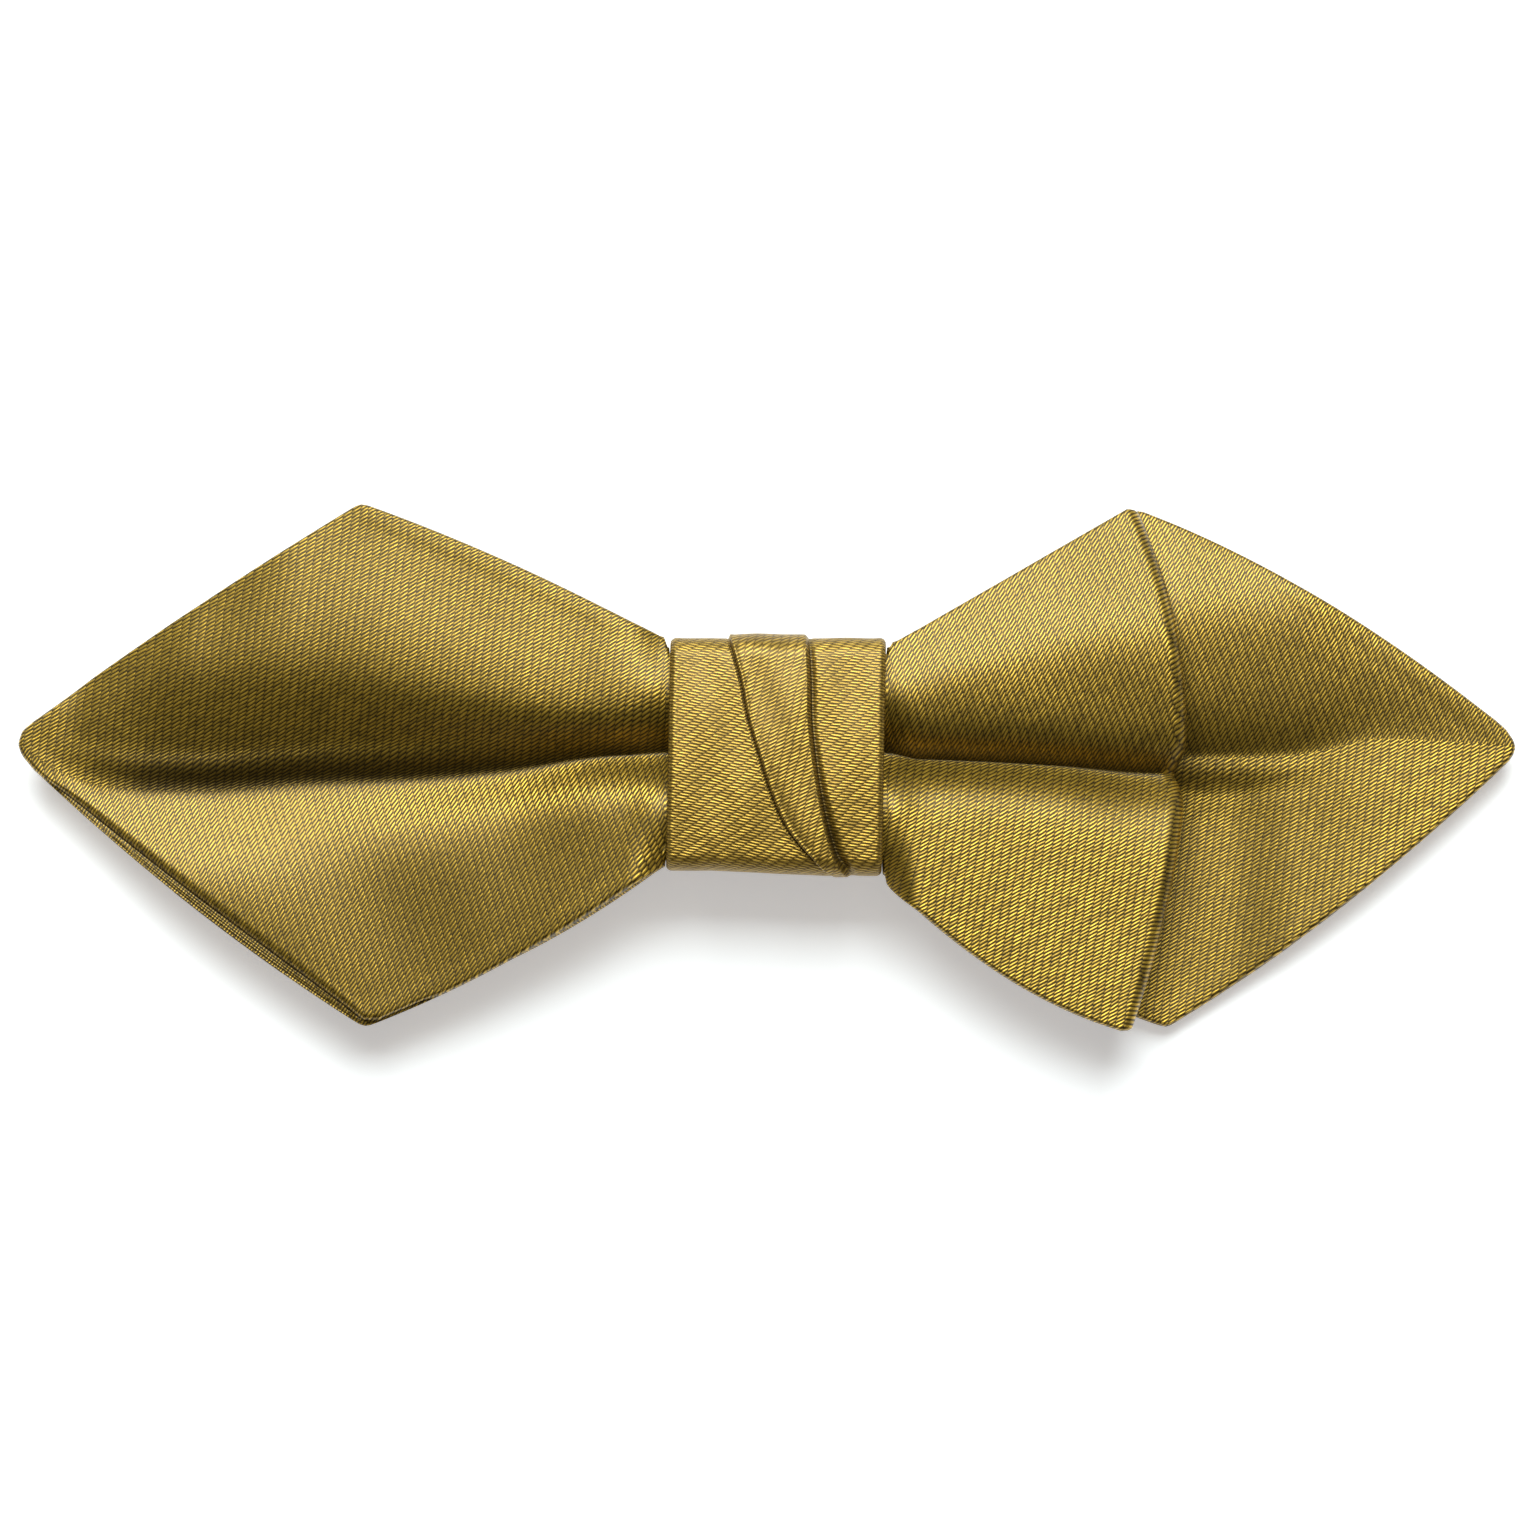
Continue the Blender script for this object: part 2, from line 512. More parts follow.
def satin(name, light, deep, seam_colour):
    """Satin twill: ribs of short lustrous threads over a darker ground, with slow changes of tone."""
    material = bpy.data.materials.new(name)
    material.use_nodes = True
    nodes, links = material.node_tree.nodes, material.node_tree.links
    skin = nodes["Principled BSDF"]

    def maths(operation, a, b=None, clamp=False):
        node = nodes.new("ShaderNodeMath")
        node.operation = operation
        node.use_clamp = clamp
        for socket, value in zip(node.inputs, (a, b)):
            if value is None:
                continue
            if isinstance(value, (int, float)):
                socket.default_value = value
            else:
                links.new(value, socket)
        return node.outputs[0]

    def noise(scale, detail):
        node = nodes.new("ShaderNodeTexNoise")
        node.inputs["Scale"].default_value = scale
        node.inputs["Detail"].default_value = detail
        links.new(place, node.inputs["Vector"])
        return node.outputs["Fac"]

    def mixed(factor, a, b):
        node = nodes.new("ShaderNodeMix")
        node.data_type = "RGBA"
        for socket, value in ((node.inputs[0], factor), (node.inputs[6], a), (node.inputs[7], b)):
            if isinstance(value, (int, float, tuple)):
                socket.default_value = value
            else:
                links.new(value, socket)
        return node.outputs[2]

    place = nodes.new("ShaderNodeTexCoord").outputs["Object"]
    weave = nodes.new("ShaderNodeUVMap")
    weave.uv_map = "weave"
    split = nodes.new("ShaderNodeSeparateXYZ")
    links.new(weave.outputs["UV"], split.inputs[0])

    drift = maths("SUBTRACT", noise(900, 1.0), 0.5)
    rib = maths("ADD", split.outputs[0], maths("MULTIPLY", drift, 0.35))
    stagger = maths("MULTIPLY", maths("FLOOR", rib), RIB_STAGGER)
    thread = maths("ADD", maths("ADD", split.outputs[1], stagger), maths("MULTIPLY", drift, 0.5))
    rib_wave = maths("ABSOLUTE", maths("SINE", maths("MULTIPLY", rib, math.pi)))
    thread_wave = maths("ABSOLUTE", maths("SINE", maths("MULTIPLY", thread, math.pi)))
    rib_round = maths("ADD", maths("MULTIPLY", maths("POWER", rib_wave, 0.6), 0.7), 0.3)
    thread_round = maths("POWER", thread_wave, 1.8)
    float_place = nodes.new("ShaderNodeCombineXYZ")
    links.new(maths("FLOOR", rib), float_place.inputs[0])
    links.new(maths("FLOOR", thread), float_place.inputs[1])
    float_tone = nodes.new("ShaderNodeTexWhiteNoise")
    float_tone.noise_dimensions = "2D"
    links.new(float_place.outputs[0], float_tone.inputs["Vector"])
    lustre = maths("ADD", maths("MULTIPLY", float_tone.outputs["Value"], 0.5), 0.75)
    cloth = maths("MULTIPLY", maths("MULTIPLY", thread_round, rib_round), lustre)
    fleck = maths("SUBTRACT", noise(2600, 1.0), 0.5)
    height = maths("ADD", cloth, maths("MULTIPLY", fleck, 0.35))

    def scaled(colour, share):
        return tuple(share * c for c in colour[:3]) + (1.0,)

    tone = maths("ADD", maths("MULTIPLY", noise(55, 3.0), 0.5), 0.25, clamp=True)
    ground = mixed(tone, deep, scaled(deep, 0.86))
    yarn = mixed(tone, light, scaled(light, 1.06))
    colour = mixed(maths("MULTIPLY", height, 1.0, clamp=True), ground, yarn)
    seam = nodes.new("ShaderNodeAttribute")
    seam.attribute_name = "seam"
    colour = mixed(maths("MULTIPLY", seam.outputs["Fac"], 0.85), colour, seam_colour)
    links.new(colour, skin.inputs["Base Color"])

    rough = maths("ADD", maths("MULTIPLY", height, -0.10), 0.50)
    links.new(rough, skin.inputs["Roughness"])
    skin.inputs["Metallic"].default_value = 0.76
    skin.inputs["Specular IOR Level"].default_value = 0.5
    skin.inputs["Coat Weight"].default_value = 0.30
    skin.inputs["Coat Roughness"].default_value = 0.40
    bump = nodes.new("ShaderNodeBump")
    bump.inputs["Strength"].default_value = 0.55
    bump.inputs["Distance"].default_value = 0.00007
    links.new(height, bump.inputs["Height"])
    links.new(bump.outputs["Normal"], skin.inputs["Normal"])
    return material


bow_satin = satin(
    "bow_satin", (0.58, 0.365, 0.040, 1.0), (0.03, 0.017, 0.001, 1.0), (0.012, 0.006, 0.0005, 1.0)
)


def piping_share(x, lower):
    """The back ply shows along the lower left edge, widest halfway and closed at the tip and the corner."""
    along = np.clip((-x - PIPING_START) / (PIPING_END - PIPING_START), 0, 1)
    swell = np.sin(math.pi * along ** 0.75) ** 0.6
    inside = window(-x, 24.0, 31.0, 60.0, LEFT_REACH)
    tail = 0.25 * window(-x, 25.0, 29.0, 31.0, 34.0)
    return lower * np.maximum(PIPING * swell * (along > 0) * inside, tail)


front_laid = lay_strip(front_layer, FRONT_PLAN, middle_layer, FRONT_RETURN)
FRONT_GRAIN = {"leaf_up": 31, "leaf_down": 54, "loop_up": 57, "loop_down": 29}
front_bow = sew_strip("front_bow_satin", front_laid, front_layer, FRONT_GRAIN, piping_share)
front_bow.data.materials.append(bow_satin)
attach(front_bow, "root")
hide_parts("front_bow")


# Rear bow. The same strip turned round: its leaf shows on the right behind the front loop, its folded loop is
# hidden behind the left leaf. It is gathered in the knot together with the front strip.
REAR_LAYER = (
    ("loop", 0.993, -0.088, -2.95, 0.42, 0.45, 3.0, 0.00, 0.60, 0.00, 0.30, 0.36, 3.0, 0.00, 0.60, 0.00),
    ("loop", 0.666, -0.058, -2.10, 0.40, 0.38, 3.0, 0.00, 0.50, 0.00, 0.28, 0.32, 3.0, 0.00, 0.50, 0.00),
    ("loop", 0.425, 0.000, -1.42, 0.38, 0.33, 3.0, 0.00, 0.40, 0.05, 0.34, 0.28, 3.0, 0.00, 0.40, 0.03),
    ("waist", -1, *REAR_WAIST),
    ("waist", 1, *REAR_WAIST),
    ("leaf", 0.236, -0.012, -1.45, 0.38, 0.28, 3.0, 0.00, 0.38, 0.20, 0.36, 0.30, 3.0, 0.00, 0.40, 0.00),
    ("leaf", 0.370, -0.020, -2.00, 0.48, 0.24, 3.0, 0.00, 0.42, 0.32, 0.34, 0.30, 3.0, 0.00, 0.40, -0.05),
    ("leaf", 0.488, -0.010, -2.42, 0.46, 0.13, 2.0, 0.08, 0.52, 0.33, -0.12, 0.14, 3.0, -0.07, 0.22, -0.04),
    ("leaf", 0.550, 0.000, -2.52, 0.42, 0.12, 2.4, 0.10, 0.57, 0.33, -0.17, 0.13, 3.0, -0.09, 0.22, -0.045),
    ("leaf", 0.613, 0.000, -2.50, 0.36, 0.12, 2.4, 0.10, 0.58, 0.34, -0.14, 0.13, 3.0, -0.06, 0.20, -0.05),
    ("leaf", 0.707, 0.010, -2.30, 0.26, 0.13, 2.2, 0.09, 0.60, 0.36, 0.00, 0.20, 2.0, 0.00, 0.25, -0.06),
    ("leaf", 0.820, 0.072, -2.00, 0.18, 0.24, 3.0, 0.02, 0.38, 0.32, 0.12, 0.30, 2.0, 0.00, 0.40, -0.04),
    ("leaf", 1.000, 0.043, -1.85, 0.01, 0.24, 2.0, 0.00, 0.08, 0.05, 0.03, 0.24, 2.0, 0.00, 0.60, 0.00),
)

REAR_PLAN = (
    (RIGHT_REACH, 0, 0.046, 0, 0.034, 0, 1),
    (0.9975 * RIGHT_REACH, 0, 0.058, 0, 0.022, 0, 0.05),
    (0.9920 * RIGHT_REACH, 0, 0.074, 0, 0.006, 0, 0.08),
    (0.9790 * RIGHT_REACH, 0, 0.114, 0, -0.034, 0, 0.12),
    (RIGHT_CORNER, -0.053, 0.945, 0.070, -1.040, 0.055, 0.42),
    (NECK_END, NECK_LEAN, 0.400, 0, -0.430, 0.055, 0.60),
    (WAIST_END, NECK_LEAN, WAIST, 0, -WAIST, 0, 0.36),
    (-WAIST_END, NECK_LEAN, WAIST, 0, -WAIST, 0, 1.50),
    (-NECK_END, NECK_LEAN, 0.410, 0, -0.400, 0, 0.36),
    (-LOOP_CORNER, 0, 0.860, 0.014, -0.915, 0.024, 0.50),
)

REAR_RETURN = (
    (-LOOP_CORNER, 0, 0.860, 0, -0.915, 0, 1),
    (-LOOP_MIDDLE, 0, 0.690, 0, -0.760, 0, 0.60),
    (-NECK_END, NECK_LEAN, 0.400, 0.010, -0.400, 0.019, 0.80),
    (-WAIST_END, NECK_LEAN, WAIST, 0, -WAIST, 0, 0.72),
    (-0.15, 0, WAIST, 0, -WAIST, 0, 2.00),
)


def rear_relief(x, away):
    """The short second crease below the right leaf's first one, beside the loop."""
    ridge = 0.07 * np.exp(-(((away + 1.1) / 0.6) ** 2)) - 0.10 * np.exp(-(((away + 2.7) / 0.8) ** 2))
    return ridge * window(x, 26, 31, 38, 46)


rear_layer = ClothLayer(
    REAR_LAYER, {"loop": -LOOP_REACH, "waist": WAIST_END, "leaf": RIGHT_REACH}, rear_relief
)
rear_laid = lay_strip(rear_layer, REAR_PLAN, middle_layer, REAR_RETURN)
REAR_GRAIN = {"leaf_up": 56, "leaf_down": 31, "loop_up": 31, "loop_down": 54}
rear_bow = sew_strip("rear_bow_satin", rear_laid, rear_layer, REAR_GRAIN)
rear_bow.data.materials.append(bow_satin)
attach(rear_bow, "root")
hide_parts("rear_bow")


# Knot. A short band of the same satin cut on the bias, its edges folded under, wrapped once round both strips
# and sewn shut behind. On its front the cloth is laid over itself in one slanting pleat.
KNOT_WIDTH = 17.2
KNOT_HEIGHT = 19.0
KNOT_WALL = 1.2
KNOT_CROWN = 0.8
KNOT_FRONT = 13.6
KNOT_BACK = 1.2
FRONT_CORNER = 1.5
BACK_CORNER = 1.8
KNOT_RIM = 0.45
KNOT_LEAN = 0.35
PLEAT_HEIGHT = 0.8

# Directions of the threads left of the pleat, on it and right of it, in degrees.
KNOT_GRAIN = (-13, 26, -8)

PLEAT_COLUMNS = ("height", "left", "right", "shadow")
PLEAT_ROWS = read_table(PLEAT_COLUMNS, (
    (-1.00, 0.56, 0.71, 1.00),
    (-0.84, 0.34, 0.58, 1.00),
    (-0.58, 0.10, 0.49, 0.80),
    (-0.30, -0.04, 0.42, 0.62),
    (0.02, -0.16, 0.36, 0.50),
    (0.34, -0.27, 0.32, 0.42),
    (0.64, -0.34, 0.31, 0.36),
    (1.00, -0.46, 0.28, 0.30),
))


def pleat_at(column, share):
    """A value of the pleat's table at a share of the knot's half height."""
    places = np.array([row["height"] for row in PLEAT_ROWS])
    return between_rows(places, np.array([row[column] for row in PLEAT_ROWS]), share)


def knot_path(inset, corner_steps=14, front_steps=90, side_steps=22):
    """The band's section, once round the waist from the middle of the back: rows of y and z in mm."""
    half = KNOT_HEIGHT / 2 - inset
    low, high = KNOT_BACK + inset, KNOT_FRONT - inset
    front, back = FRONT_CORNER - inset, BACK_CORNER - inset
    back_steps = front_steps // 2
    points = [(y, low) for y in np.linspace(0, half - back, back_steps, endpoint=False)]

    def corner(y, z, radius, start):
        for angle in np.linspace(start, start + math.pi / 2, corner_steps):
            points.append((y + radius * math.cos(angle), z + radius * math.sin(angle)))

    corner(half - back, low + back, back, -math.pi / 2)
    points += [(half, z) for z in np.linspace(low + back, high - front, side_steps + 2)[1:-1]]
    corner(half - front, high - front, front, 0)
    points += [(y, high) for y in np.linspace(half - front, front - half, front_steps + 2)[1:-1]]
    corner(front - half, high - front, front, math.pi / 2)
    points += [(-half, z) for z in np.linspace(high - front, low + back, side_steps + 2)[1:-1]]
    corner(back - half, low + back, back, math.pi)
    points += [(y, low) for y in np.linspace(back - half, 0, back_steps + 1)[1:]]
    points = np.array(points)
    share = np.maximum(0, (points[:, 1] - low) / (high - low))
    points[:, 1] -= KNOT_CROWN * share * (points[:, 0] / half) ** 2
    return points


def spread_columns(a, b, count, crowded=True):
    """Columns of the mesh from edge a up to edge b, crowded beside both where the cloth turns there."""
    k = np.linspace(0, 1, count)[:-1]
    if crowded:
        k = k - 0.6 * np.sin(2 * math.pi * k) / (2 * math.pi)
    return a + (b - a) * k


def knot_columns(left, right):
    """Columns across the band, and the panel that each is on: 0 left of the pleat, 1 on it, 2 right of it."""
    half = np.full_like(left, KNOT_WIDTH / 2)
    rim = half - KNOT_RIM * (1 - np.cos(np.linspace(0, math.pi / 2, 8)))
    narrow = np.minimum(0.30, (right - left) / 5)
    runs = [
        (-rim[:, :-1], 0),
        (spread_columns(KNOT_RIM - half, left - narrow, 22), 0),
        (spread_columns(left - narrow, left + narrow, 13, False), 1),
        (spread_columns(left + narrow, right - 0.35, 22), 1),
        (spread_columns(right - 0.35, right + 0.75, 18, False), 2),
        (spread_columns(right + 0.75, half - KNOT_RIM, 16), 2),
        (rim[:, ::-1], 2),
    ]
    panels = np.concatenate([np.full(x.shape[1], panel) for x, panel in runs])
    return np.concatenate([x for x, _ in runs], 1), panels


def fold_pleat(x, left, right, fold):
    """The pleat's height over the band in mm, with the ditch and slit beside it, and how dark those are."""
    lip = np.clip((x - left + 0.02) / 0.12, 0, 1)
    lip = lip * lip * (3 - 2 * lip)
    edge = np.sin(np.clip((right + 0.02 - x) / 0.34, 0, 1) * math.pi / 2) ** 0.8
    across = np.clip((x - left) / np.maximum(right - left, 0.5), 0, 1)
    body = PLEAT_HEIGHT * (0.86 + 0.14 * np.sin(math.pi * across))
    crest = 0.07 * np.exp(-(((x - left - 0.22) / 0.16) ** 2))
    past = x - right - 0.10
    ditch = 0.42 * fold * np.exp(-((past / (0.16 + 0.26 * fold)) ** 2)) * (past > -0.3)
    slit = 0.08 * np.exp(-(((x - left + 0.07) / 0.07) ** 2))
    ditch_dark = np.exp(-((past / (0.10 + 0.20 * fold)) ** 2)) * (0.55 + 0.45 * fold)
    slit_dark = 0.8 * np.exp(-(((x - left + 0.05) / 0.06) ** 2))
    return (body + crest) * lip * edge - ditch - slit, ditch_dark + slit_dark


def wrap_knot():
    """The wrapped band as one closed ring, with its pleat, its folded edges and the dark fold beside it."""
    outer, inner = knot_path(0), knot_path(KNOT_WALL)
    around = np.gradient(outer, axis=0)
    around[0] = around[-1] = outer[1] - outer[-2]
    out = np.stack([around[:, 1], -around[:, 0]], 1)
    out /= np.linalg.norm(out, axis=1, keepdims=True)
    middle = (KNOT_FRONT + KNOT_BACK) / 2
    if ((outer - [0, middle]) * out).sum() < 0:
        out = -out
    run = np.concatenate([[0], np.cumsum(np.linalg.norm(np.diff(outer, axis=0), axis=1))])
    run = run[:, None]

    half = KNOT_WIDTH / 2
    share = np.clip(2 * outer[:, :1] / KNOT_HEIGHT, -1, 1)
    left, right = pleat_at("left", share) * half, pleat_at("right", share) * half
    raised = np.clip((outer[:, 1:] - middle) / (KNOT_FRONT - FRONT_CORNER - middle), 0, 1)
    raised = raised * raised * (3 - 2 * raised)
    over_top, over_bottom = np.maximum(out[:, :1], 0), np.maximum(-out[:, :1], 0)
    raised = raised * (1 - 0.55 * over_top ** 2 - 0.85 * over_bottom ** 2)

    x, panels = knot_columns(left, right)
    relief, dark = fold_pleat(x, left, right, pleat_at("shadow", share))
    from_edge = half - np.abs(x)
    inside = np.minimum(from_edge, KNOT_RIM) / KNOT_RIM
    rim_drop = KNOT_RIM * (1 - np.sqrt(np.maximum(0, 1 - (1 - inside) ** 2)))
    ridge = 0.03 * np.exp(-(((from_edge - 0.55) / 0.28) ** 2))
    slack = 0.05 * np.sin(0.9 * x + 0.5 * run) + 0.04 * np.sin(1.7 * x - 0.8 * run + 1.0)
    slack = slack * np.clip(from_edge / 2, 0, 1)
    lift = (relief + ridge + slack) * raised - rim_drop
    lean = KNOT_LEAN * share / 2
    hitched = 0.42 * np.clip((4 - x) / 9, 0, 1) * np.maximum(-share, 0) ** 3
    skin = np.stack([
        x + lean, outer[:, :1] + out[:, :1] * lift + hitched, outer[:, 1:] + out[:, 1:] * lift,
    ], -1)
    lining_x = lean + np.linspace(half, -half, 9)
    lining = np.stack([lining_x, *(np.repeat(inner[:, i:i + 1], 9, 1) for i in (0, 1))], -1)
    ring = np.concatenate([skin, lining], 1)[:-1]
    dark = np.concatenate([np.clip(dark * raised, 0, 1), 0 * lining_x], 1)[:-1]

    rows, columns = ring.shape[:2]
    index = np.arange(rows * columns).reshape(rows, columns)
    down = np.roll(index, -1, 0)
    across = np.concatenate([x + lean, lining_x], 1)
    panels = np.concatenate([panels, np.full(9, 2)])
    faces, uvs = [], []
    for k in range(columns):
        after = (k + 1) % columns
        direction = KNOT_GRAIN[panels[k]]
        here = count_weave(across[:, k], -run[:, 0], direction)
        beside = count_weave(across[:, after], -run[:, 0], direction)
        faces.append(np.stack([index[:, k], down[:, k], down[:, after], index[:, after]], -1))
        uvs.append(np.stack([here[:-1], here[1:], beside[1:], beside[:-1]], 1))
    faces, uvs = np.concatenate(faces), np.concatenate(uvs)
    if faces_inward(ring.reshape(-1, 3), faces):
        faces, uvs = faces[:, ::-1], uvs[:, ::-1]
    return smooth_object("knot_band_satin", ring.reshape(-1, 3), faces.tolist(), dark, uvs)


knot_satin = satin(
    "knot_satin", (0.48, 0.302, 0.043, 1.0), (0.10, 0.056, 0.004, 1.0), (0.012, 0.006, 0.0005, 1.0)
)
knot_band = wrap_knot()
knot_band.data.materials.append(knot_satin)
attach(knot_band, "root")
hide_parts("knot_band")


# Clip. One strip of spring steel bent into a hairpin: one leg lies inside the band, the other behind it, and
# the free ends are rounded so that they slide over a collar.
CLIP_LENGTH = 21.2
CLIP_WIDTH = 9.0
CLIP_STEEL = 0.8
LEG_FRONT = 3.5


def bend_clip():
    """The hairpin's centre line, and round it a strip with softened edges and rounded free ends."""
    softness = 0.25
    radius = (LEG_FRONT - CLIP_STEEL) / 2
    bend_x = CLIP_LENGTH / 2 - LEG_FRONT / 2
    middle = LEG_FRONT / 2
    start, end = -CLIP_LENGTH / 2, -CLIP_LENGTH / 2 + CLIP_STEEL / 2
    tip = CLIP_WIDTH / 2
    nose = tip * (1 - np.cos(np.linspace(0, math.pi / 2, 16)))
    lower = [(x, CLIP_STEEL / 2, 0.0) for x in start + nose]
    lower += [(x, CLIP_STEEL / 2, 0.0) for x in np.linspace(start + tip, bend_x, 20)[1:]]
    turn = [
        (bend_x + radius * math.sin(a), middle - radius * math.cos(a), a)
        for a in np.linspace(0, math.pi, 26)[1:-1]
    ]
    upper = [(x, LEG_FRONT - CLIP_STEEL / 2, math.pi) for x in np.linspace(bend_x, end + tip, 20)]
    upper += [(x, LEG_FRONT - CLIP_STEEL / 2, math.pi) for x in (end + nose)[::-1][1:]]
    line = np.array(lower + turn + upper)
    reach = np.select([line[:, 2] == 0, line[:, 2] == math.pi], [line[:, 0] - start, line[:, 0] - end], tip)
    reach = np.clip(reach, 0.02, tip)
    half = np.sqrt(np.maximum(0, tip ** 2 - (tip - reach) ** 2))
    corner = np.linspace(0, math.pi / 2, 5)
    flat_half = CLIP_STEEL / 2 - softness
    section = np.array([
        (to_y, math.cos(angle) * softness, to_z * flat_half + math.sin(angle) * softness)
        for to_y, to_z, quarter in ((1, 1, 0), (-1, 1, 1), (-1, -1, 2), (1, -1, 3))
        for angle in corner + quarter * math.pi / 2
    ])
    across = section[:, 0] * (np.maximum(half, softness)[:, None] - softness) + section[:, 1]
    out = section[:, 2]
    x = line[:, :1] + np.sin(line[:, 2:3]) * out
    z = line[:, 1:2] - np.cos(line[:, 2:3]) * out
    rings = np.stack([x, across, z], -1)
    quads, caps = close_tube(rings)
    run = np.concatenate([[0], np.cumsum(np.linalg.norm(np.diff(line[:, :2], axis=0), axis=1))])
    brushed = np.stack([np.broadcast_to(run[:, None], across.shape), across], -1).reshape(-1, 2)
    uvs = brushed[np.concatenate([quads.ravel(), *caps])]
    faces = quads.tolist() + [cap.tolist() for cap in caps]
    return smooth_object("collar_clip_steel", rings.reshape(-1, 3), faces, np.zeros(across.size), uvs)


def brushed_steel(name):
    """Spring steel, brushed along the strip, with faint tool marks."""
    material = bpy.data.materials.new(name)
    material.use_nodes = True
    nodes, links = material.node_tree.nodes, material.node_tree.links
    skin = nodes["Principled BSDF"]
    place = nodes.new("ShaderNodeTexCoord").outputs["Object"]
    stretch = nodes.new("ShaderNodeMapping")
    stretch.inputs["Scale"].default_value = (120.0, 5200.0, 900.0)
    links.new(place, stretch.inputs["Vector"])
    brush = nodes.new("ShaderNodeTexNoise")
    brush.inputs["Scale"].default_value = 1.0
    brush.inputs["Detail"].default_value = 3.0
    links.new(stretch.outputs["Vector"], brush.inputs["Vector"])
    tone = nodes.new("ShaderNodeValToRGB")
    tone.color_ramp.elements[0].position = 0.3
    tone.color_ramp.elements[0].color = (0.36, 0.37, 0.39, 1.0)
    tone.color_ramp.elements[1].position = 0.7
    tone.color_ramp.elements[1].color = (0.60, 0.61, 0.63, 1.0)
    links.new(brush.outputs["Fac"], tone.inputs["Fac"])
    links.new(tone.outputs["Color"], skin.inputs["Base Color"])
    dull = nodes.new("ShaderNodeMapRange")
    dull.inputs["To Min"].default_value = 0.26
    dull.inputs["To Max"].default_value = 0.42
    links.new(brush.outputs["Fac"], dull.inputs["Value"])
    links.new(dull.outputs["Result"], skin.inputs["Roughness"])
    bump = nodes.new("ShaderNodeBump")
    bump.inputs["Strength"].default_value = 0.25
    bump.inputs["Distance"].default_value = 0.00002
    links.new(brush.outputs["Fac"], bump.inputs["Height"])
    links.new(bump.outputs["Normal"], skin.inputs["Normal"])
    skin.inputs["Metallic"].default_value = 1.0
    return material


collar_clip = bend_clip()
collar_clip.data.materials.append(brushed_steel("clip_steel"))
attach(collar_clip, "root")
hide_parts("collar_clip")


# Floor, light and camera. A pale sweep under the bow, one large soft lamp from above its upper edge and a
# weak fill, seen straight from the front as in the photograph.
FLOOR_WIDTH = 1.2
FLOOR_TILES = 12


def pale_floor():
    """A flat pale sheet under the bow that glows a little, so that it stays light."""
    size = FLOOR_TILES + 1
    steps = np.linspace(-FLOOR_WIDTH / 2, FLOOR_WIDTH / 2, size)
    grid = [(x, y, 0.0) for y in steps for x in steps]
    faces = [
        (j * size + i, j * size + i + 1, (j + 1) * size + i + 1, (j + 1) * size + i)
        for j in range(FLOOR_TILES) for i in range(FLOOR_TILES)
    ]
    mesh = bpy.data.meshes.new("floor")
    mesh.from_pydata(grid, [], faces)
    made = bpy.data.objects.new("floor", mesh)
    bpy.context.scene.collection.objects.link(made)
    paint = bpy.data.materials.new("floor_paint")
    paint.use_nodes = True
    skin = paint.node_tree.nodes["Principled BSDF"].inputs
    skin["Base Color"].default_value = (0.885, 0.90, 0.925, 1.0)
    skin["Roughness"].default_value = 0.85
    skin["Specular IOR Level"].default_value = 0.1
    skin["Emission Color"].default_value = (0.97, 0.97, 1.0, 1.0)
    skin["Emission Strength"].default_value = 0.42
    mesh.materials.append(paint)
    return made


pale_floor()


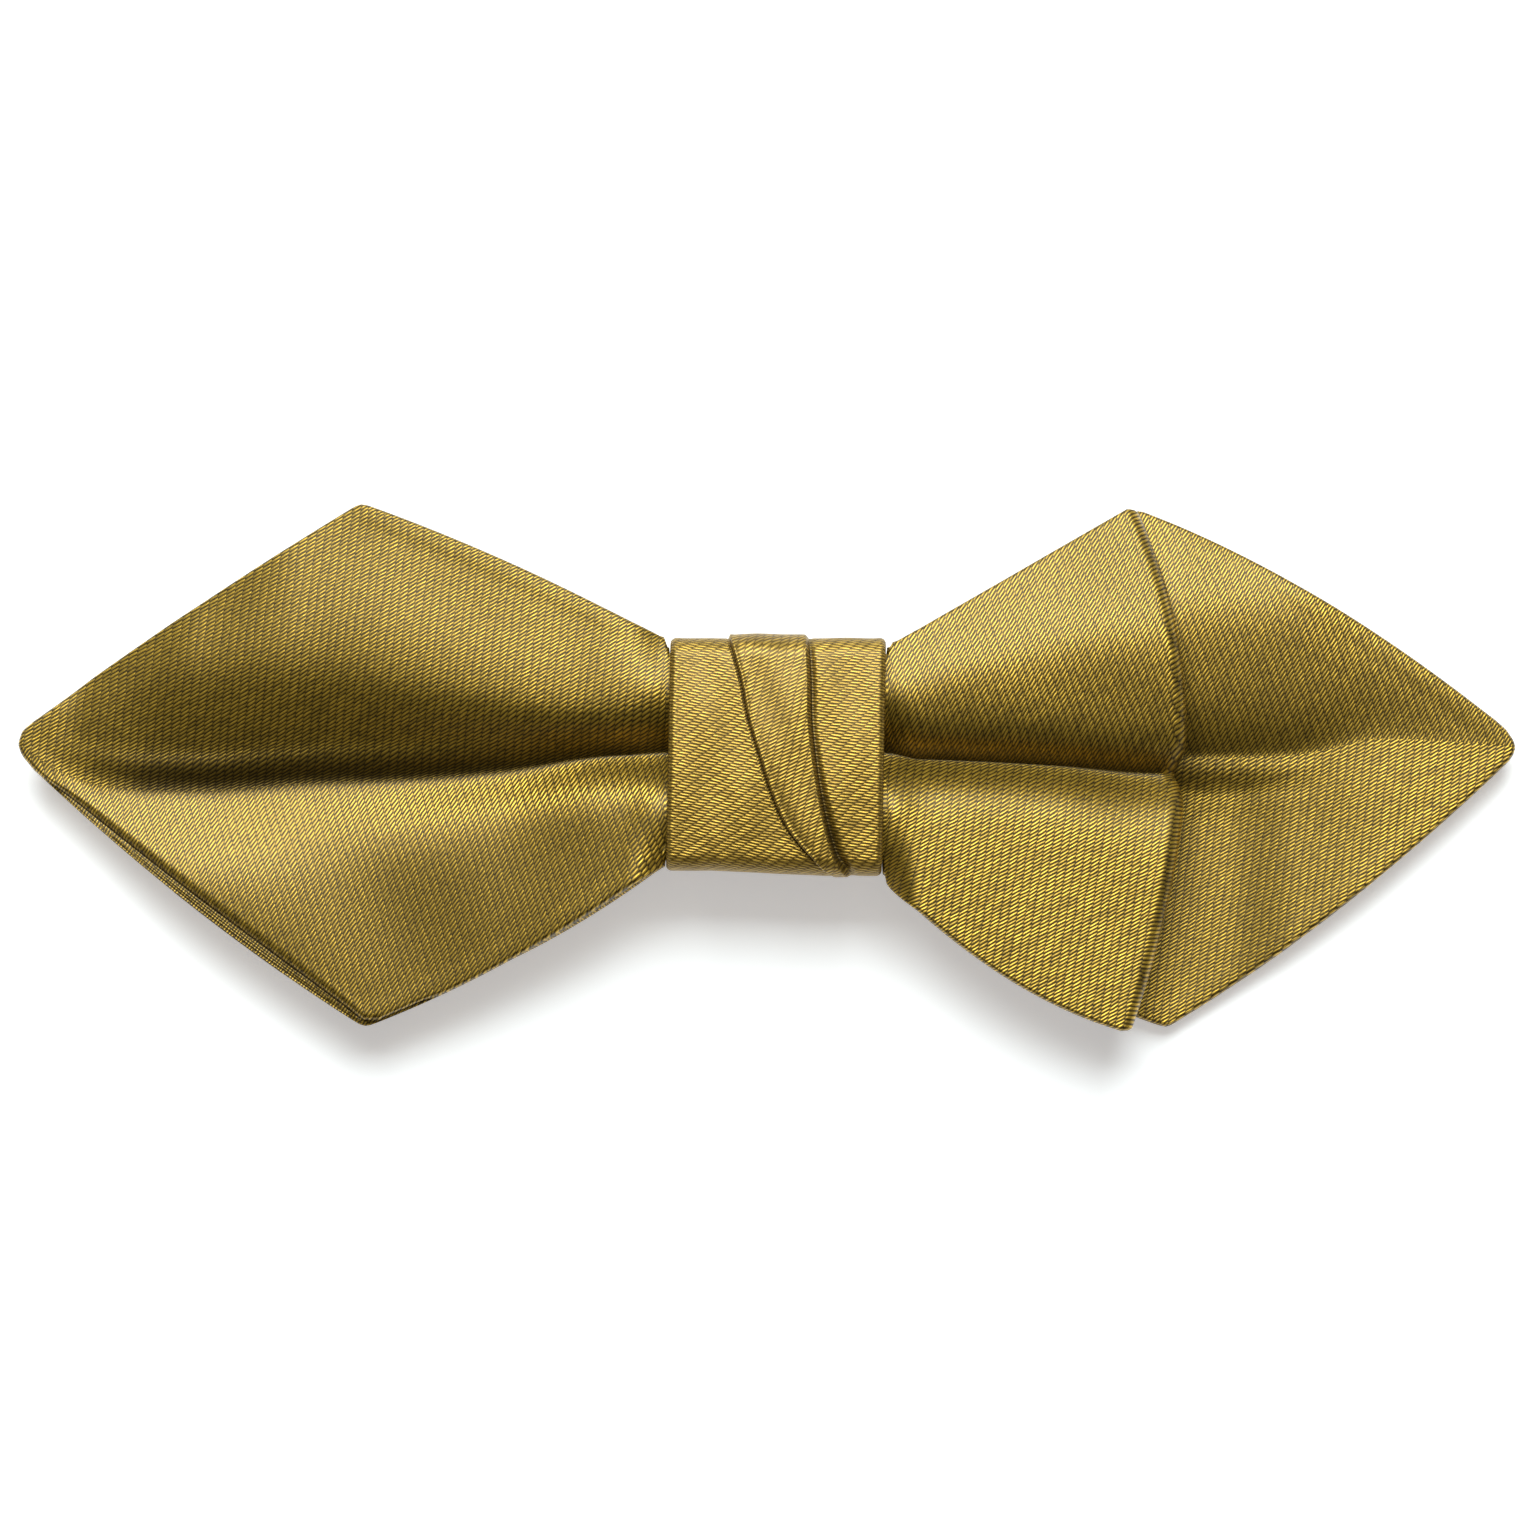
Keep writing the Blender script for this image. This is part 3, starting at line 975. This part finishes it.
def soft_lamp(name, azimuth, elevation, distance, size, watts, colour=(1.0, 1.0, 1.0)):
    """A square soft box, given by where it stands round the bow, facing it."""
    light = bpy.data.lights.new(name, "AREA")
    light.shape = "RECTANGLE"
    light.size, light.size_y = size
    light.energy = watts
    light.color = colour
    lamp = bpy.data.objects.new(name, light)
    a, e = math.radians(azimuth), math.radians(elevation)
    lamp.location = (
        distance * math.cos(e) * math.cos(a), distance * math.cos(e) * math.sin(a), distance * math.sin(e)
    )
    lamp.rotation_euler = (math.radians(90) - e, 0, a + math.radians(90))
    bpy.context.scene.collection.objects.link(lamp)
    return lamp


soft_lamp("key", 92, 56, 1.0, (0.62, 0.62), 14.0, (0.96, 1.03, 1.02))
soft_lamp("overhead", 90, 82, 1.1, (0.6, 0.6), 1.6, (1.0, 0.90, 0.70))

HORIZON_GLOW = 0.40
ZENITH_GLOW = 0.03


def light_room():
    """A warm room that glows weakly round the horizon and is nearly dark overhead."""
    world = bpy.data.worlds.new("studio")
    world.use_nodes = True
    nodes, links = world.node_tree.nodes, world.node_tree.links
    upward = nodes.new("ShaderNodeSeparateXYZ")
    links.new(nodes.new("ShaderNodeTexCoord").outputs["Generated"], upward.inputs[0])
    glow = nodes.new("ShaderNodeMapRange")
    glow.inputs["From Min"].default_value = 0.02
    glow.inputs["From Max"].default_value = 0.30
    glow.inputs["To Min"].default_value = HORIZON_GLOW
    glow.inputs["To Max"].default_value = ZENITH_GLOW
    links.new(upward.outputs[2], glow.inputs["Value"])
    links.new(glow.outputs["Result"], nodes["Background"].inputs["Strength"])
    nodes["Background"].inputs["Color"].default_value = (1.0, 0.92, 0.80, 1.0)
    bpy.context.scene.world = world


light_room()

camera_data = bpy.data.cameras.new("camera")
camera = bpy.data.objects.new("camera", camera_data)
bpy.context.scene.collection.objects.link(camera)
EYE_HEIGHT = 0.708
CLOTH_HEIGHT = 0.008
PICTURE_WIDTH = 0.1232
camera.location = (-0.00064, -0.00088, EYE_HEIGHT)
camera.rotation_euler = (0, 0, 0)
camera_data.sensor_width = 36.0
camera_data.lens = camera_data.sensor_width * (EYE_HEIGHT - CLOTH_HEIGHT) / PICTURE_WIDTH
camera_data.clip_start = 0.05
bpy.context.scene.camera = camera
bpy.context.scene.view_settings.view_transform = "Standard"
bpy.context.scene.view_settings.look = "None"
